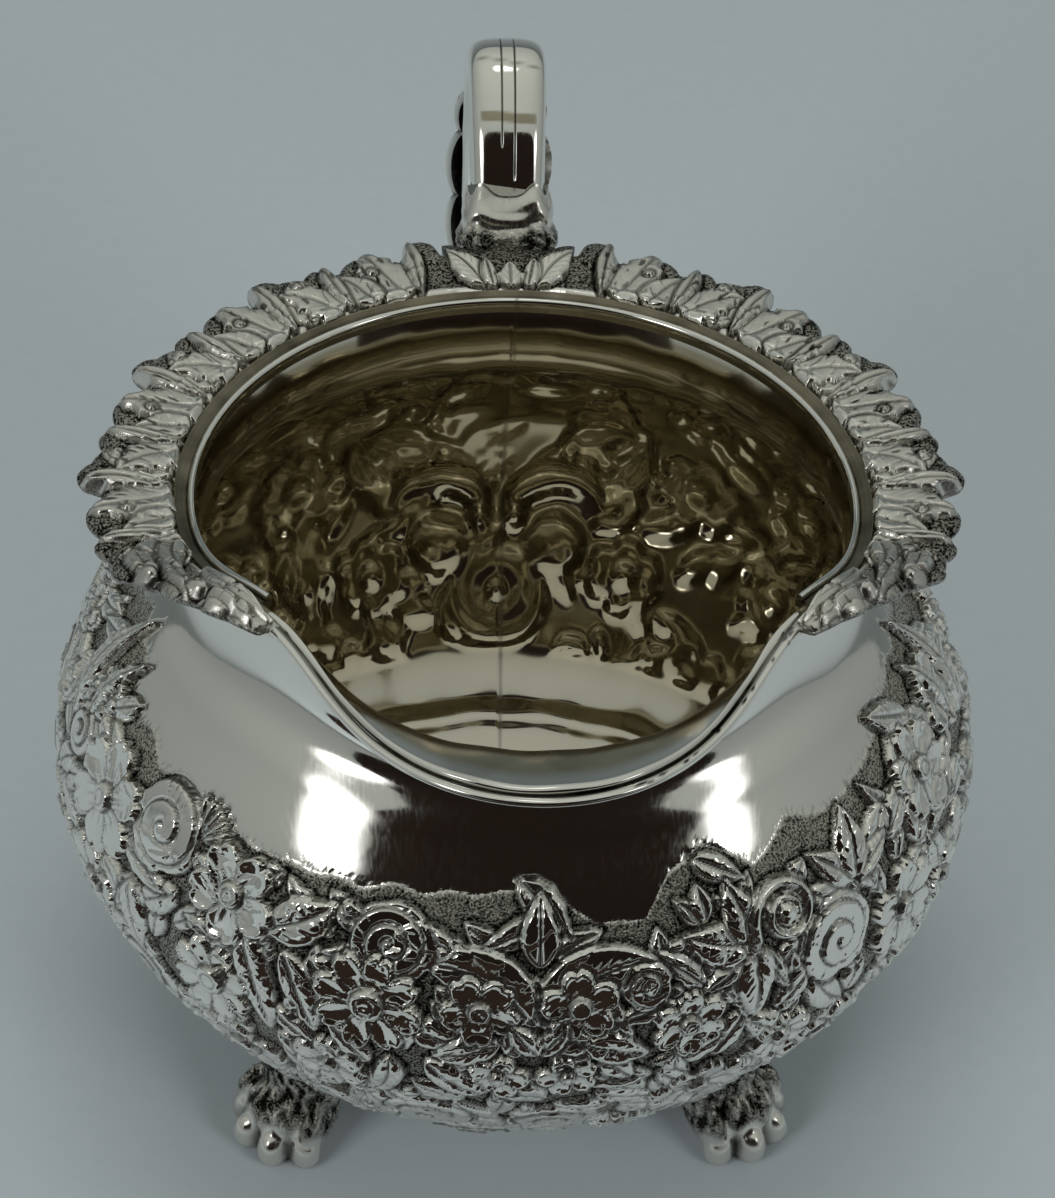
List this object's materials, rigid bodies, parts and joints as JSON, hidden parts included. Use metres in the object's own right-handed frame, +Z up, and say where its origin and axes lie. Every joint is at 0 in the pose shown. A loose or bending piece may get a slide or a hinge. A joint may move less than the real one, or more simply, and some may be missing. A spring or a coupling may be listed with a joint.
{
  "type": "cream jug",
  "caption": "Squat round-bellied silver cream jug with a drawn-out pouring lip, cast leafy border, scroll handle and paw feet, chased with flowers.",
  "frame": {"origin": "on the table, under the middle of the jug's box; the round body's axis is 13.4 mm towards the lip (-Y) from it", "axes": "+Z up, -Y the way the lip pours, +Y towards the handle, +X to the right seen from the lip's side"},
  "size_m": [0.108, 0.1369, 0.098],
  "materials": {
    "chased_silver": "polished silver, chased and embossed, with a matted ground and dark tarnish left in the recesses",
    "polished_silver": "hand polished silver with fine wear scratches",
    "cast_silver": "cast and chased silver, bright on the high spots and dark in the recesses"
  },
  "bodies": {
    "root": {"body_shell": "chased_silver", "base_disc": "polished_silver", "rim_wire": "polished_silver", "lip_wire": "polished_silver", "border_end_left": "cast_silver", "border_section_left_1": "cast_silver", "border_section_left_2": "cast_silver", "border_section_left_3": "cast_silver", "border_section_left_4": "cast_silver", "border_section_left_5": "cast_silver", "handle_half_left": "polished_silver", "border_end_right": "cast_silver", "border_section_right_1": "cast_silver", "border_section_right_2": "cast_silver", "border_section_right_3": "cast_silver", "border_section_right_4": "cast_silver", "border_section_right_5": "cast_silver", "handle_half_right": "polished_silver", "handle_upper_socket": "cast_silver", "handle_leaf_cap": "polished_silver", "handle_lower_joint": "cast_silver", "foot_front_left": "cast_silver", "foot_front_right": "cast_silver", "foot_back_left": "cast_silver", "foot_back_right": "cast_silver"}
  },
  "joints": []
}
